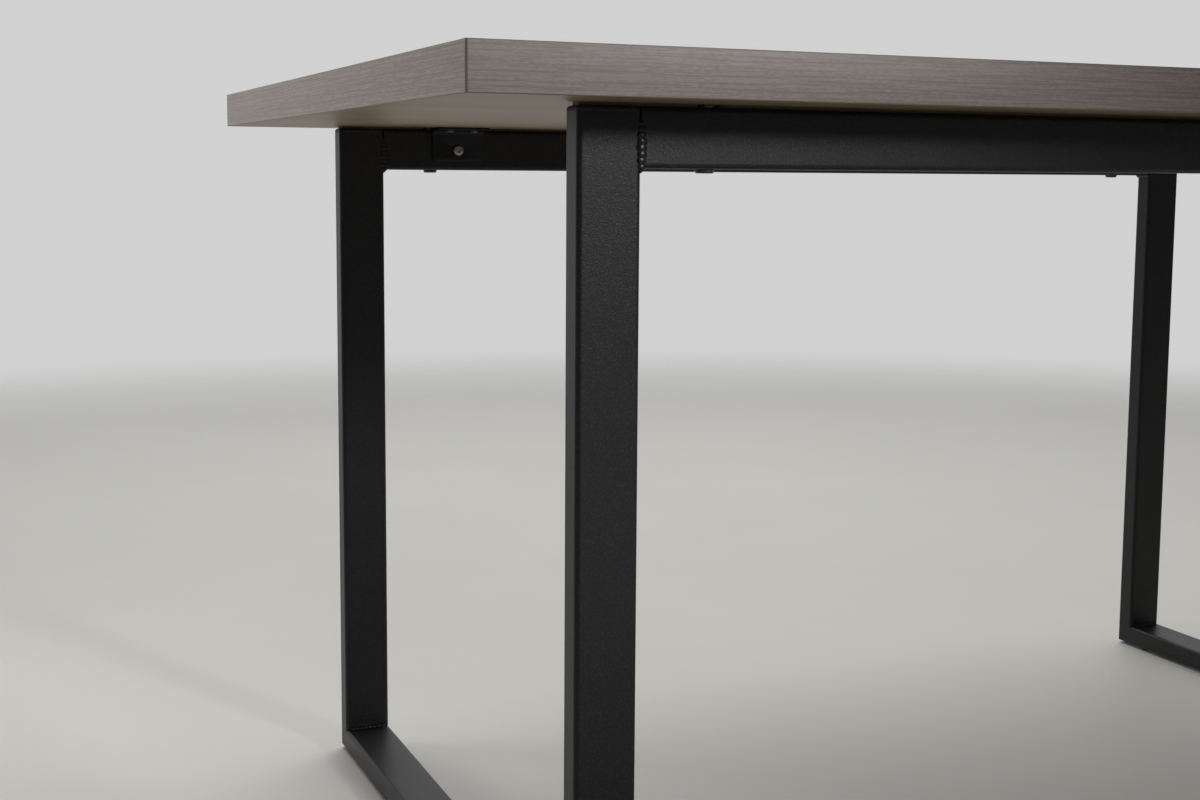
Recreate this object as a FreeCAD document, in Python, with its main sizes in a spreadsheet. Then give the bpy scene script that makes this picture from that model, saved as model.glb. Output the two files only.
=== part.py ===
import FreeCAD, Part
import math
import os
import re

import Sketcher

# Dining table: a laminated top on two U-shaped tube end frames tied by two long rails.
# Millimetres, +Z up, X along the table's length, origin on the floor under the table's centre.
# One quarter (back right) is drawn, and the other three are its mirror images.

SIZES = (
    ("table_length", 1400, "overall length of the top"),
    ("table_width", 850, "overall width of the top"),
    ("table_height", 750, "floor to the top's surface"),
    ("top_thickness", 35, "thickness of the finished top"),
    ("laminate", 0.8, "melamine sheet on either side of the core"),
    ("band_thickness", 2, "edge band"),
    ("band_round", 1.5, "trimmed edge of the band"),
    ("end_overhang", 106, "top's short edge to the post"),
    ("side_overhang", 67.5, "top's long edge to the post"),
    ("tube_width", 50, "post and floor bar, wide side"),
    ("tube_depth", 25, "post, floor bar and rail, narrow side"),
    ("tube_wall", 2, "wall of the tube"),
    ("tube_radius", 4, "outer corner of the tube"),
    ("rail_height", 45, "wide side of the rail"),
    ("rail_gap", 2.5, "rail to the underside, and thickness of the spacers"),
    ("cap_flange", 4, "cap above the post"),
    ("cap_round", 3.2, "rounded rim of the cap"),
    ("cap_plug", 15, "depth of the cap's plug in the post"),
    ("cap_wall", 1.6, "wall of the cap's plug"),
    ("cap_fit", 0.2, "gap round the plug"),
    ("foot_thickness", 3, "pad between the floor and the floor bar"),
    ("foot_diameter", 36, "pad of the levelling foot"),
    ("foot_chamfer", 1, "lower rim of the pad"),
    ("foot_inset", 45, "end of the floor bar to the foot"),
    ("foot_stud", 7.8, "diameter of the foot's stud"),
    ("foot_stud_length", 19, "stud above the pad"),
    ("foot_stud_seat", 2, "stud's seat in the pad"),
    ("foot_nut_width", 13, "across the flats of the nut in the floor bar"),
    ("foot_nut_height", 8, "nut in the floor bar"),
    ("running_fit", 0.1, "radial gap between the stud and its nut"),
    ("bolt_offset", 57, "post to the bolt through the rail"),
    ("bolt_diameter", 6, "bolt through the rail"),
    ("bolt_head", 15, "diameter of the bolt's head"),
    ("bolt_head_top", 9, "flat on the end of the bolt's head"),
    ("bolt_head_height", 3, "height of the bolt's head"),
    ("bolt_socket", 4, "across the flats of the bolt's socket"),
    ("bolt_socket_depth", 2, "depth of the bolt's socket"),
    ("bolt_grip", 12, "bolt inside the top"),
    ("bolt_hole_gap", 0.3, "radial gap round a bolt or screw in its hole"),
    ("spacer_diameter", 16, "spacer washer on the rail"),
    ("insert_diameter", 10, "threaded insert in the top"),
    ("insert_length", 14, "threaded insert in the top"),
    ("thread_gap", 0.1, "radial gap of a thread or a driven fit"),
    ("bracket_offset", 85.5, "post to the middle of the bracket"),
    ("bracket_width", 60, "bracket along the rail"),
    ("bracket_leg", 38, "bracket's leg on the rail"),
    ("bracket_flange", 30, "bracket's flange under the top"),
    ("bracket_thickness", 3, "bracket's sheet"),
    ("bracket_bend", 6, "inner bend of the bracket"),
    ("bracket_corner", 5, "rounded corners of the bracket"),
    ("screw_diameter", 6, "machine screw in the bracket's leg"),
    ("screw_head", 12, "diameter of the machine screw's head"),
    ("screw_head_height", 4, "machine screw's head"),
    ("screw_tail", 1.5, "machine screw past its nut"),
    ("rail_nut_width", 10, "across the flats of the nut in the rail"),
    ("rail_nut_height", 5, "nut in the rail"),
    ("wood_screw_spacing", 28, "between the two wood screws of a bracket"),
    ("wood_screw_inset", 18, "rail to the wood screws"),
    ("wood_screw_diameter", 4, "wood screw"),
    ("wood_screw_head", 9, "diameter of the wood screw's head"),
    ("wood_screw_head_height", 2.6, "wood screw's head"),
    ("wood_screw_length", 22, "wood screw above its head"),
    ("wood_screw_tip", 4, "tapered end of the wood screw"),
    ("recess_width", 1.4, "arm of a cross recess"),
    ("recess_depth", 1.6, "cross recess"),
    ("bead_radius", 4.2, "crest of the weld's ripples on the rail's end"),
    ("bead_valley", 3.4, "weld between two ripples"),
    ("bead_pitch", 6, "between two ripples"),
    ("bead_sink", 2, "middle of the weld below the tube's face"),
    ("bead_shift", 1, "middle of the weld from the post, along the rail"),
    ("bead_start", 2, "lowest ripple above the rail's lower face"),
    ("bead_stop", 10, "highest ripple below the rail's upper face, at least"),
    ("corner_bead", 3.2, "weld in an inner corner"),
)

# Places, worked out from the sizes
POST_X = "(table_length / 2 - end_overhang - tube_width / 2)"
POST_Y = "(table_width / 2 - side_overhang - tube_depth / 2)"
POST_FACE = f"({POST_X} - tube_width / 2)"
FRAME_FACE = f"({POST_Y} + tube_depth / 2)"
INNER_FACE = f"({POST_Y} - tube_depth / 2)"
UNDERSIDE = "(table_height - top_thickness)"
RAIL_TOP = f"({UNDERSIDE} - rail_gap)"
RAIL_BOTTOM = f"({RAIL_TOP} - rail_height)"
RAIL_MIDDLE = f"({RAIL_TOP} - rail_height / 2)"
POST_TOP = f"({RAIL_TOP} - cap_flange)"
BAR_TOP = "(foot_thickness + tube_depth)"
BAR_MIDDLE = "(foot_thickness + tube_depth / 2)"
FOOT_Y = f"({FRAME_FACE} - foot_inset)"
BOLT_X = f"({POST_FACE} - bolt_offset)"
BRACKET_X = f"({POST_FACE} - bracket_offset)"
CORE_LENGTH = "(table_length - 2 * band_thickness)"
CORE_WIDTH = "(table_width - 2 * band_thickness)"

doc = FreeCAD.newDocument("dining_table")
sheet = doc.addObject("Spreadsheet::Sheet", "Sizes")
for row, (alias, value, note) in enumerate(SIZES, 1):
    sheet.set(f"A{row}", note)
    sheet.set(f"B{row}", str(value))
    sheet.setAlias(f"B{row}", alias)
doc.recompute()

nodes = []


def sized(formula):
    """The formula with each named size looked up in the sheet."""
    return re.sub(r"[a-z]\w*", lambda word: "Sizes." + word.group(), formula)


def number(formula):
    """The formula's present value."""
    return float(sheet.evalExpression(sized(formula)))


def bind(item, **formulas):
    """Tie an object's properties to formulas of the sheet's sizes."""
    for name, formula in formulas.items():
        item.setExpression(name, sized(formula))
    return item


def place(item, x="0", y="0", z="0"):
    """Tie an object's position to formulas."""
    for axis, formula in zip("xyz", (x, y, z)):
        item.setExpression(f"Placement.Base.{axis}", sized(formula))
    return item


def keep(item, label):
    """Name a finished sub-part and put it on the list to be written."""
    item.Label = label
    nodes.append(item)
    return item


# Sketches and features of a body

def body(name):
    return doc.addObject("PartDesign::Body", name)


def sketch(owner, role, name, offset="0"):
    """A sketch on one of the body's own planes, moved along the plane's normal."""
    plane = next(item for item in owner.Origin.OriginFeatures if item.Role == role)
    drawing = owner.newObject("Sketcher::SketchObject", name)
    drawing.AttachmentSupport = [(plane, "")]
    drawing.MapMode = "FlatFace"
    drawing.setExpression("AttachmentOffset.Base.z", sized(offset))
    return drawing


def dimension(drawing, kind, *places, formula):
    """A driving dimension tied to the sheet."""
    index = drawing.addConstraint(Sketcher.Constraint(kind, *places, number(formula)))
    name = f"size{index}"
    drawing.renameConstraint(index, name)
    drawing.setExpression(f"Constraints.{name}", sized(formula))


def point(x, y):
    return FreeCAD.Vector(x, y, 0)


def outline(drawing, corners):
    """A closed straight outline through corners given as pairs of formulas."""
    points = [point(number(x), number(y)) for x, y in corners]
    lines = [drawing.addGeometry(Part.LineSegment(a, b), False) for a, b in zip(points, points[1:] + points[:1])]
    for line, following in zip(lines, lines[1:] + lines[:1]):
        drawing.addConstraint(Sketcher.Constraint("Coincident", line, 2, following, 1))
    for line, (x, y) in zip(lines, corners):
        dimension(drawing, "DistanceX", -1, 1, line, 1, formula=x)
        dimension(drawing, "DistanceY", -1, 1, line, 1, formula=y)


def rounded_rectangle(drawing, width, height, radius):
    """A rectangle with round corners about the sketch's origin."""
    half_x, half_y, r = number(width) / 2, number(height) / 2, number(radius)
    z_axis = FreeCAD.Vector(0, 0, 1)
    arcs, lines = [], []
    for turn, (sx, sy) in enumerate(((1, -1), (1, 1), (-1, 1), (-1, -1))):
        centre = point(sx * (half_x - r), sy * (half_y - r))
        start = math.radians(90 * turn - 90)
        arc = Part.ArcOfCircle(Part.Circle(centre, z_axis, r), start, start + math.pi / 2)
        arcs.append((drawing.addGeometry(arc, False), arc))
    for (_, arc), (_, following) in zip(arcs, arcs[1:] + arcs[:1]):
        lines.append(drawing.addGeometry(Part.LineSegment(arc.EndPoint, following.StartPoint), False))
    rounds = [index for index, _ in arcs]
    for corner, side, following in zip(rounds, lines, rounds[1:] + rounds[:1]):
        drawing.addConstraint(Sketcher.Constraint("Tangent", corner, 2, side, 1))
        drawing.addConstraint(Sketcher.Constraint("Tangent", side, 2, following, 1))
    for upright in (lines[0], lines[2]):
        drawing.addConstraint(Sketcher.Constraint("Vertical", upright))
    for level in (lines[1], lines[3]):
        drawing.addConstraint(Sketcher.Constraint("Horizontal", level))
    for corner in rounds[1:]:
        drawing.addConstraint(Sketcher.Constraint("Equal", rounds[0], corner))
    drawing.addConstraint(Sketcher.Constraint("Symmetric", rounds[0], 3, rounds[2], 3, -1, 1))
    dimension(drawing, "DistanceX", lines[2], 1, lines[0], 1, formula=width)
    dimension(drawing, "DistanceY", lines[3], 1, lines[1], 1, formula=height)
    dimension(drawing, "Radius", rounds[0], formula=radius)


def circle(drawing, x, y, diameter):
    """A circle at a place given by formulas."""
    centre = point(number(x), number(y))
    index = drawing.addGeometry(Part.Circle(centre, FreeCAD.Vector(0, 0, 1), number(diameter) / 2), False)
    dimension(drawing, "DistanceX", -1, 1, index, 3, formula=x)
    dimension(drawing, "DistanceY", -1, 1, index, 3, formula=y)
    dimension(drawing, "Diameter", index, formula=diameter)


def hexagon(drawing, width):
    """A hexagon about the sketch's origin, given across its flats."""
    reach = f"({width} / {math.sqrt(3)})"
    half = f"({width} / 2)"
    outline(drawing, ((reach, "0"), (f"{reach} / 2", half), (f"-{reach} / 2", half),
                      (f"-{reach}", "0"), (f"-{reach} / 2", f"-{half}"), (f"{reach} / 2", f"-{half}")))


def pad(owner, drawing, length, middle=False, back=False):
    """Extrude a sketch by a formula's length."""
    feature = owner.newObject("PartDesign::Pad", f"{drawing.Name}_pad")
    feature.Profile = drawing
    feature.SideType = "Symmetric" if middle else "One side"
    feature.Reversed = back
    return bind(feature, Length=length)


def pocket(owner, drawing, length, middle=False, back=False):
    """Cut a sketch out of the body, and make sure that it took something away."""
    doc.recompute()
    before = owner.Shape.Volume
    feature = owner.newObject("PartDesign::Pocket", f"{drawing.Name}_pocket")
    feature.Profile = drawing
    feature.SideType = "Symmetric" if middle else "One side"
    feature.Reversed = back
    bind(feature, Length=length)
    doc.recompute()
    if owner.Shape.Volume >= before:
        raise RuntimeError(f"{feature.Name} cuts nothing")
    return feature


def rounded(owner, kind, size, chosen):
    """Fillet or chamfer the edges of the body's tip that the test picks."""
    doc.recompute()
    tip = owner.Tip
    edges = [f"Edge{i}" for i, edge in enumerate(tip.Shape.Edges, 1) if chosen(edge)]
    feature = owner.newObject(f"PartDesign::{kind}", f"{owner.Name}_{kind.lower()}")
    feature.Base = (tip, edges)
    return bind(feature, **{"Radius" if kind == "Fillet" else "Size": size})


def turned(owner, drawing):
    """Revolve a half profile drawn on the XZ plane about Z."""
    feature = owner.newObject("PartDesign::Revolution", f"{drawing.Name}_turn")
    feature.Profile = drawing
    feature.ReferenceAxis = (drawing, ["V_Axis"])
    feature.Angle = 360
    return feature


# Mirrored and grouped copies

def mirrored(source, axis, name):
    """The mirror image of an object across the table's middle plane."""
    image = doc.addObject("Part::Mirroring", name)
    image.Source = source
    image.Normal = FreeCAD.Vector(*axis)
    return image


ACROSS_X = (1, 0, 0)
ACROSS_Y = (0, 1, 0)


def four_corners(source, stem):
    """Four sub-parts from the one at the back right."""
    keep(source, f"{stem}_back_right")
    left = keep(mirrored(source, ACROSS_X, f"{stem}_back_left_image"), f"{stem}_back_left")
    keep(mirrored(source, ACROSS_Y, f"{stem}_front_right_image"), f"{stem}_front_right")
    keep(mirrored(left, ACROSS_Y, f"{stem}_front_left_image"), f"{stem}_front_left")


def two_sides(source, axis, first, second):
    """Two sub-parts that are mirror images of each other."""
    keep(source, first)
    keep(mirrored(source, axis, f"{second}_image"), second)


def compound(name, items):
    group = doc.addObject("Part::Compound", name)
    group.Links = items
    return group


def in_four(name, items):
    """A group of the given objects and their images in the other three quarters."""
    quarter = compound(f"{name}_quarter", items)
    half = compound(f"{name}_half", [quarter, mirrored(quarter, ACROSS_X, f"{name}_across")])
    return compound(name, [half, mirrored(half, ACROSS_Y, f"{name}_along")])


def box(name, length, width, height, x, y, z):
    """A box about a middle point in plan, standing on z."""
    block = bind(doc.addObject("Part::Box", name), Length=length, Width=width, Height=height)
    return place(block, f"{x} - {length} / 2", f"{y} - {width} / 2", z)


def rod(name, diameter, height, x, y, z):
    """A standing cylinder."""
    cylinder = bind(doc.addObject("Part::Cylinder", name), Radius=f"{diameter} / 2", Height=height)
    return place(cylinder, x, y, z)


def cut(name, base, tool):
    result = doc.addObject("Part::Cut", name)
    result.Base = base
    result.Tool = tool
    return result


# Tabletop

SCREW_Y = f"({INNER_FACE} - wood_screw_inset)"
SCREW_PLACES = [f"({BRACKET_X} {sign} wood_screw_spacing / 2)" for sign in "-+"]
INSERT_BORE = "(insert_diameter + 2 * thread_gap)"
PILOT_BORE = "(wood_screw_diameter + 2 * thread_gap)"


def top_holes(name, depth, screw_depth):
    """The bores in the underside, a little deeper than what they hold."""
    bores = [rod(f"{name}_insert_bore", INSERT_BORE, depth, BOLT_X, POST_Y, UNDERSIDE)]
    for side, x in enumerate(SCREW_PLACES):
        bores.append(rod(f"{name}_pilot_{side}", PILOT_BORE, screw_depth, x, SCREW_Y, UNDERSIDE))
    return in_four(f"{name}_holes", bores)


def tabletop():
    core = box("core_board", CORE_LENGTH, CORE_WIDTH, "(top_thickness - 2 * laminate)", "0", "0",
               f"{UNDERSIDE} + laminate")
    pilot = "(wood_screw_length - bracket_thickness + 2 * thread_gap)"
    keep(cut("core_drilled", core, top_holes("core", "(insert_length + 2 * thread_gap)", pilot)), "tabletop_core")
    upper = box("upper_sheet", CORE_LENGTH, CORE_WIDTH, "laminate", "0", "0", "table_height - laminate")
    keep(upper, "top_laminate")
    lower = box("lower_sheet", CORE_LENGTH, CORE_WIDTH, "laminate", "0", "0", UNDERSIDE)
    keep(cut("lower_sheet_drilled", lower, top_holes("sheet", "laminate", "laminate")), "underside_laminate")


def edge_band(name, length, along):
    """A band that stands on the top's edge, its outer long edges and ends rounded."""
    band = body(name)
    role, depth = ("XZ_Plane", "table_width / 2") if along == "x" else ("YZ_Plane", "table_length / 2")
    sign = "-" if along == "x" else ""
    drawing = sketch(band, role, f"{name}_section", f"{sign}({depth} - band_thickness)")
    half = f"({length} / 2)"
    outline(drawing, ((f"-{half}", "0"), (half, "0"), (half, "top_thickness"), (f"-{half}", "top_thickness")))
    pad(band, drawing, "band_thickness", back=along == "x")
    face = number(depth)
    tall = number("top_thickness")

    def outer(edge):
        centre = edge.CenterOfMass
        reach = centre.y if along == "x" else centre.x
        upright = abs(centre.z - tall / 2) < 0.01
        return abs(reach - face) < 0.01 and (along == "x" or not upright)

    rounded(band, "Fillet", "band_round", outer)
    return place(band, z=UNDERSIDE)


# Steel frame

def tube(owner, drawing, width, height, length, middle=False):
    """A rectangular tube with round corners."""
    rounded_rectangle(drawing, width, height, "tube_radius")
    pad(owner, drawing, length, middle)
    role = {"XY": "XY_Plane", "XZ": "XZ_Plane", "YZ": "YZ_Plane"}[drawing.Name[:2]]
    hollow = sketch(owner, role, f"{drawing.Name}_bore")
    rounded_rectangle(hollow, f"({width} - 2 * tube_wall)", f"({height} - 2 * tube_wall)",
                      "(tube_radius - tube_wall)")
    pocket(owner, hollow, f"2 * {length}", middle=True)


def post():
    """An upright, mitred at its foot."""
    upright = body("post")
    tube(upright, sketch(upright, "XY_Plane", "XY_post"), "tube_width", "tube_depth",
         f"({POST_TOP} - foot_thickness)")
    mitre = sketch(upright, "YZ_Plane", "YZ_post_mitre")
    outline(mitre, (("tube_depth / 2", "0"), ("-tube_depth / 2", "tube_depth"), ("-tube_depth / 2", "0")))
    pocket(upright, mitre, "2 * tube_width", middle=True)
    return place(upright, POST_X, POST_Y, "foot_thickness")


def floor_bar():
    """The foot of an end frame, mitred at both ends, with a hole for either levelling stud."""
    bar = body("floor_bar")
    length = f"(2 * {FRAME_FACE})"
    tube(bar, sketch(bar, "XZ_Plane", "XZ_bar"), "tube_width", "tube_depth", length, middle=True)
    half, low, high = f"({length} / 2)", "-tube_depth / 2", "tube_depth / 2"
    for end, sign in (("back", ""), ("front", "-")):
        mitre = sketch(bar, "YZ_Plane", f"YZ_bar_mitre_{end}")
        outline(mitre, ((f"{sign}{half}", low), (f"{sign}{half}", high), (f"{sign}({half} - tube_depth)", high)))
        pocket(bar, mitre, "2 * tube_width", middle=True)
    holes = sketch(bar, "XY_Plane", "XY_bar_holes")
    for y in (FOOT_Y, f"-{FOOT_Y}"):
        circle(holes, "0", y, "(foot_stud + 2 * running_fit + 2 * bolt_hole_gap)")
    pocket(bar, holes, "tube_depth")
    return place(bar, POST_X, "0", BAR_MIDDLE)


def rail():
    """A long rail, drilled for the bolts and for the brackets' screws."""
    bar = body("rail")
    tube(bar, sketch(bar, "YZ_Plane", "YZ_rail"), "tube_depth", "rail_height", f"(2 * {POST_FACE})", middle=True)
    bolts = sketch(bar, "XY_Plane", "XY_rail_bolts")
    screws = sketch(bar, "XZ_Plane", "XZ_rail_screws")
    for sign in ("", "-"):
        circle(bolts, f"{sign}{BOLT_X}", "0", "(bolt_diameter + 2 * bolt_hole_gap)")
        circle(screws, f"{sign}{BRACKET_X}", "0", "(screw_diameter + 2 * bolt_hole_gap)")
    pocket(bar, bolts, "2 * rail_height", middle=True)
    pocket(bar, screws, "tube_depth", back=True)
    return place(bar, "0", POST_Y, RAIL_MIDDLE)


def post_cap():
    """A moulded cap with a rounded rim and a hollow plug."""
    cap = body("post_cap")
    flange = sketch(cap, "XY_Plane", "XY_cap_flange")
    rounded_rectangle(flange, "tube_width", "tube_depth", "tube_radius")
    pad(cap, flange, "cap_flange")
    top = number("cap_flange")
    rounded(cap, "Fillet", "cap_round", lambda edge: abs(edge.CenterOfMass.z - top) < 0.01)
    plug = sketch(cap, "XY_Plane", "XY_cap_plug")
    bore_x, bore_y = "(tube_width - 2 * tube_wall)", "(tube_depth - 2 * tube_wall)"
    rounded_rectangle(plug, f"({bore_x} - 2 * cap_fit)", f"({bore_y} - 2 * cap_fit)", "(tube_radius - tube_wall)")
    rounded_rectangle(plug, f"({bore_x} - 2 * cap_fit - 2 * cap_wall)", f"({bore_y} - 2 * cap_fit - 2 * cap_wall)",
                      "(tube_radius - tube_wall) / 2")
    pad(cap, plug, "cap_plug", back=True)
    return place(cap, POST_X, POST_Y, POST_TOP)


# Welds

def vector(x, y, z):
    return FreeCAD.Vector(number(x), number(y), number(z))


def prism(corner, size, axis):
    """A solid bar with round corners along one axis: what a weld can't enter."""
    block = Part.makeBox(*(number(length) for length in size), vector(*corner))
    edges = [edge for edge in block.Edges if abs(edge.tangentAt(edge.FirstParameter)[axis]) > 0.99]
    return block.makeFillet(number("tube_radius"), edges)


def post_prism():
    return prism((POST_FACE, INNER_FACE, "foot_thickness"),
                 ("tube_width", "tube_depth", f"{POST_TOP} - foot_thickness"), 2)


def rail_prism():
    return prism((f"-{POST_FACE}", INNER_FACE, RAIL_BOTTOM), (f"2 * {POST_FACE}", "tube_depth", "rail_height"), 0)


def bar_prism():
    return prism((POST_FACE, f"-{FRAME_FACE}", "foot_thickness"),
                 ("tube_width", f"2 * {FRAME_FACE}", "tube_depth"), 1)


def bead(start, along, profile):
    """Weld metal turned about the line from start, from (distance, radius) pairs."""
    along = along.normalize()
    side = FreeCAD.Vector(along.y, along.z, along.x)
    points = [start + along * distance + side * radius for distance, radius in profile]
    face = Part.Face(Part.makePolygon(points + points[:1]))
    return face.revolve(start, along, 360)


def plain_run(start, end, radius):
    """A smooth run with sloped, blunt ends."""
    run = end - start
    slope = ((-0.7, 0), (-0.7, 0.7), (0, 1))
    first = [(radius * out, radius * wide) for out, wide in slope]
    last = [(run.Length - distance, wide) for distance, wide in reversed(first)]
    return bead(start, run, first + last)


def rippled_run(start, steps):
    """Overlapping round ripples up a line, two slopes to either side of each crest."""
    crest, valley, pitch = number("bead_radius"), number("bead_valley"), number("bead_pitch")
    quarters = range(-2, 4 * steps + 3)
    profile = [(pitch * q / 4, valley + (crest - valley) * abs(math.cos(math.pi * q / 4))) for q in quarters]
    return bead(start, FreeCAD.Vector(0, 0, 1), [(profile[0][0], 0)] + profile + [(profile[-1][0], 0)])


def weld(name, beads, steel):
    """Weld metal as one solid that meets the tubes face to face."""
    shape = beads[0].fuse(beads[1:]) if len(beads) > 1 else beads[0]
    for tube_solid in steel:
        shape = shape.cut(tube_solid)
    largest = max(shape.Solids, key=lambda solid: solid.Volume)
    item = doc.addObject("Part::Feature", name)
    item.Shape = largest
    return item


def rail_weld():
    """Ripples on the outer face, and plain runs under the rail and on the inner face."""
    radius, small = number("bead_radius"), number("corner_bead")
    x = f"({POST_FACE} - bead_shift)"
    outer, inner = f"({FRAME_FACE} - bead_sink)", f"({INNER_FACE} + bead_sink)"
    low = f"({RAIL_BOTTOM} + bead_start)"
    steps = int((number("rail_height") - number("bead_stop") - number("bead_start")) / number("bead_pitch"))
    beads = [rippled_run(vector(x, outer, low), steps)]
    beads.append(plain_run(vector(x, inner, low), vector(x, inner, f"{low} + {steps} * bead_pitch"), radius))
    beads.append(plain_run(vector(POST_FACE, f"{INNER_FACE} + tube_radius", RAIL_BOTTOM),
                           vector(POST_FACE, f"{FRAME_FACE} - tube_radius", RAIL_BOTTOM), small))
    return weld("rail_weld", beads, (post_prism(), rail_prism()))


def foot_weld():
    """A run across the inner corner between a post and its floor bar."""
    ends = [vector(f"{POST_X} {sign} (tube_width / 2 - tube_radius - corner_bead)", INNER_FACE, BAR_TOP)
            for sign in "-+"]
    return weld("foot_weld", [plain_run(*ends, number("corner_bead"))], (post_prism(), bar_prism()))


# Fasteners

def stem(owner, name, rings):
    """A turned piece from half-profile corners (radius, height), the axis included."""
    drawing = sketch(owner, "XZ_Plane", f"XZ_{name}")
    outline(drawing, rings)
    turned(owner, drawing)


def cross_recess(owner, name, diameter, level):
    """A cross recess cut into a head that faces down."""
    long, short = f"({diameter} * 0.3)", "(recess_width / 2)"
    drawing = sketch(owner, "XY_Plane", f"XY_{name}", level)
    outline(drawing, ((long, f"-{short}"), (long, short), (short, short), (short, long), (f"-{short}", long),
                      (f"-{short}", short), (f"-{long}", short), (f"-{long}", f"-{short}"),
                      (f"-{short}", f"-{short}"), (f"-{short}", f"-{long}"), (short, f"-{long}"),
                      (short, f"-{short}")))
    pocket(owner, drawing, "recess_depth", back=True)


def top_bolt():
    """A low-headed bolt that comes up through the rail, drawn from the seat of its head."""
    bolt = body("top_bolt")
    rim, flat, shank = "bolt_head / 2", "bolt_head_top / 2", "bolt_diameter / 2"
    reach = "(rail_height + rail_gap + bolt_grip)"
    stem(bolt, "bolt", (("0", "-bolt_head_height"), (flat, "-bolt_head_height"), (rim, "-bolt_head_height / 3"),
                        (rim, "0"), (shank, "0"), (shank, reach), ("0", reach)))
    socket = sketch(bolt, "XY_Plane", "XY_bolt_socket", "-bolt_head_height")
    hexagon(socket, "bolt_socket")
    pocket(bolt, socket, "bolt_socket_depth", back=True)
    return place(bolt, BOLT_X, POST_Y, RAIL_BOTTOM)


def ring(name, outer, bore, height):
    """A turned ring standing on the XY plane."""
    piece = body(name)
    drawing = sketch(piece, "XY_Plane", f"XY_{name}")
    circle(drawing, "0", "0", outer)
    circle(drawing, "0", "0", bore)
    pad(piece, drawing, height)
    return piece


def nut(name, width, bore, height, role):
    """A hexagon nut on one of its body's planes."""
    piece = body(name)
    drawing = sketch(piece, role, f"{role[:2]}_{name}")
    hexagon(drawing, width)
    circle(drawing, "0", "0", bore)
    pad(piece, drawing, height, back=role == "XZ_Plane")
    return piece


def bracket():
    """An angle bracket between the rail's inner face and the underside."""
    angle = body("bracket")
    section = sketch(angle, "YZ_Plane", "YZ_bracket")
    sheet_edge = "bracket_thickness"
    outline(section, (("0", "0"), ("-bracket_flange", "0"), ("-bracket_flange", f"-{sheet_edge}"),
                      (f"-{sheet_edge}", f"-{sheet_edge}"), (f"-{sheet_edge}", "-bracket_leg"),
                      ("0", "-bracket_leg")))
    pad(angle, section, "bracket_width", middle=True)
    thick, half = number("bracket_thickness"), number("bracket_width") / 2

    def along_at(edge, y, z):
        centre = edge.CenterOfMass
        return abs(centre.x) < 0.01 and abs(centre.y - y) < 0.01 and abs(centre.z - z) < 0.01

    rounded(angle, "Fillet", "bracket_bend", lambda edge: along_at(edge, -thick, -thick))
    rounded(angle, "Fillet", "(bracket_bend + bracket_thickness)", lambda edge: along_at(edge, 0, 0))
    reach, drop = number("bracket_flange"), number("bracket_leg")

    def free_corner(edge):
        centre = edge.CenterOfMass
        end = abs(centre.y + reach) < 0.01 or abs(centre.z + drop) < 0.01
        return abs(abs(centre.x) - half) < 0.01 and end

    rounded(angle, "Fillet", "bracket_corner", free_corner)
    flange_holes = sketch(angle, "XY_Plane", "XY_bracket_holes")
    for sign in ("", "-"):
        circle(flange_holes, f"{sign}wood_screw_spacing / 2", "-wood_screw_inset",
               "(wood_screw_diameter + 2 * bolt_hole_gap)")
    pocket(angle, flange_holes, "2 * bracket_thickness", middle=True)
    leg_hole = sketch(angle, "XZ_Plane", "XZ_bracket_hole")
    circle(leg_hole, "0", f"({RAIL_MIDDLE} - {UNDERSIDE})", "(screw_diameter + 2 * bolt_hole_gap)")
    pocket(angle, leg_hole, "2 * bracket_thickness", middle=True)
    return place(angle, BRACKET_X, INNER_FACE, UNDERSIDE)


def bracket_screw():
    """A pan-headed machine screw, drawn upright from the seat of its head and laid along Y."""
    screw = body("bracket_screw")
    rim, shank = "screw_head / 2", "screw_diameter / 2"
    reach = "(bracket_thickness + tube_wall + rail_nut_height + screw_tail)"
    stem(screw, "screw", (("0", "-screw_head_height"), (f"{rim} * 0.7", "-screw_head_height"),
                          (rim, "-screw_head_height * 0.5"), (rim, "0"), (shank, "0"), (shank, reach), ("0", reach)))
    cross_recess(screw, "screw_recess", "screw_head", "-screw_head_height")
    screw.Placement.Rotation = FreeCAD.Rotation(FreeCAD.Vector(1, 0, 0), -90)
    return place(screw, BRACKET_X, f"{INNER_FACE} - bracket_thickness", RAIL_MIDDLE)


def wood_screw(side, x):
    """A pan-headed wood screw up through the bracket's flange."""
    screw = body(f"wood_screw_{side}")
    rim, shank = "wood_screw_head / 2", "wood_screw_diameter / 2"
    stem(screw, f"wood_screw_{side}",
         (("0", "-wood_screw_head_height"), (f"{rim} * 0.65", "-wood_screw_head_height"),
          (rim, "-wood_screw_head_height * 0.4"), (rim, "0"), (shank, "0"),
          (shank, "wood_screw_length - wood_screw_tip"), ("0", "wood_screw_length")))
    cross_recess(screw, f"wood_recess_{side}", "wood_screw_head", "-wood_screw_head_height")
    return place(screw, x, SCREW_Y, f"{UNDERSIDE} - bracket_thickness")


# Levelling feet

def levelling_pad():
    """A round plastic pad with a blind seat for its stud."""
    disc = body("levelling_pad")
    drawing = sketch(disc, "XY_Plane", "XY_pad")
    circle(drawing, "0", "0", "foot_diameter")
    pad(disc, drawing, "foot_thickness")
    rounded(disc, "Chamfer", "foot_chamfer", lambda edge: abs(edge.CenterOfMass.z) < 0.01 and len(edge.Vertexes) == 1)
    seat = sketch(disc, "XY_Plane", "XY_pad_seat", "foot_thickness")
    circle(seat, "0", "0", "(foot_stud + 2 * thread_gap)")
    pocket(disc, seat, "foot_stud_seat")
    return place(disc, POST_X, FOOT_Y, "0")


def levelling_stud():
    """The threaded stud that stands in the pad."""
    return rod("levelling_stud", "foot_stud", "(foot_stud_seat + foot_stud_length)", POST_X, FOOT_Y,
               "foot_thickness - foot_stud_seat")


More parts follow.
